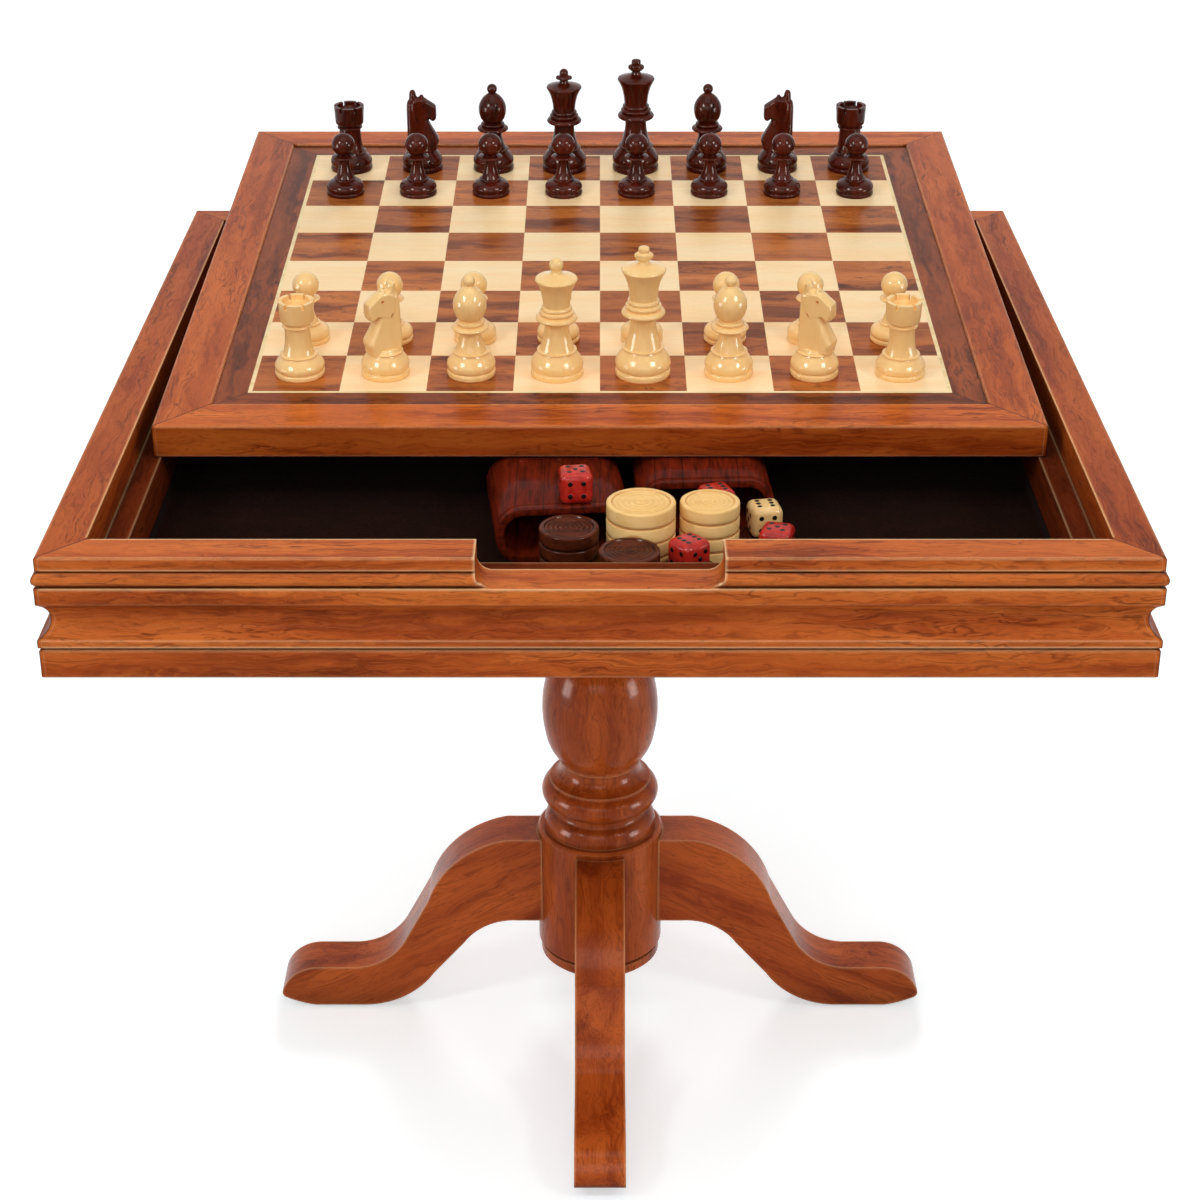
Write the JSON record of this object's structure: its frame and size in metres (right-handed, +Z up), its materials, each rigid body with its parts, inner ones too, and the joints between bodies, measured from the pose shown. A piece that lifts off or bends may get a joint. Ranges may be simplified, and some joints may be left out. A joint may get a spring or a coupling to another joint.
{
  "type": "chess table",
  "caption": "Square pedestal games table: moulded apron box, lift-off inlaid chessboard laid back over the open storage box, cabriole legs, with chessmen, checkers, dice and cups.",
  "frame": {"origin": "on the floor, under the middle of the whole, the laid-back board included; the pedestal's axis stands 66 mm in front of it", "axes": "+Z up, +Y towards the back, where the laid-back board overhangs, +X to the right seen from the front"},
  "size_m": [0.7052, 0.8367, 0.6986],
  "materials": {
    "board_frame": "gloss lacquer, red-brown",
    "border": "gloss lacquered veneer, dark red-brown",
    "boxwood": "polished boxwood",
    "checker_dark": "satin dark stained wood",
    "checker_light": "satin boxwood",
    "cherry": "satin lacquer, red-brown with darker veins",
    "cherry_lining": "satin lacquer, darker red-brown inside the box",
    "cream_plastic": "gloss cream with dark pips",
    "cup": "dark red-brown stained hide over staves, with rivets",
    "dark_veneer": "gloss lacquered walnut veneer",
    "felt": "brown-black felt",
    "glide": "matt dark",
    "light_veneer": "gloss lacquered maple veneer",
    "ply": "plain plywood",
    "red_plastic": "gloss red with dark pips",
    "rosewood": "polished dark rosewood",
    "steel": "zinc plated"
  },
  "bodies": {
    "table": {"back_base_band": "cherry", "back_ledge": "cherry_lining", "back_leg": "cherry", "back_rail": "cherry", "corner_tongues": "ply", "cream_die": "cream_plastic", "dark_checkers": "checker_dark", "felt_lining": "felt", "flange_screws": "steel", "floor_panel": "ply", "foot_glides": "glide", "front_base_band": "cherry", "front_ledge": "cherry_lining", "front_leg": "cherry", "front_rail": "cherry", "hub_cap": "cherry", "large_checkers": "checker_light", "left_base_band": "cherry", "left_dice_cup": "cup", "left_ledge": "cherry_lining", "left_leg": "cherry", "left_rail": "cherry", "leg_dowels": "ply", "leg_hub": "cherry", "light_checkers": "checker_light", "mounting_plate": "ply", "red_dice": "red_plastic", "right_base_band": "cherry", "right_dice_cup": "cup", "right_ledge": "cherry_lining", "right_leg": "cherry", "right_rail": "cherry", "rod_nuts": "steel", "tie_rod": "steel", "turned_column": "cherry"},
    "board": {"board_back_rail": "board_frame", "board_front_rail": "board_frame", "board_left_rail": "board_frame", "board_panel": "ply", "board_right_rail": "board_frame", "border_veneer": "border", "dark_squares": "dark_veneer", "light_squares": "light_veneer", "stringing": "light_veneer", "dark_bishops": "rosewood", "dark_king": "rosewood", "dark_knights": "rosewood", "dark_pawns": "rosewood", "dark_queen": "rosewood", "dark_rooks": "rosewood", "light_bishops": "boxwood", "light_king": "boxwood", "light_knights": "boxwood", "light_pawns": "boxwood", "light_queen": "boxwood", "light_rooks": "boxwood"}
  },
  "joints": [
    {"name": "board_lift", "type": "slide", "parent": "table", "child": "board", "axis": [0, 0, 1], "range_m": [0, 0.3]}
  ]
}
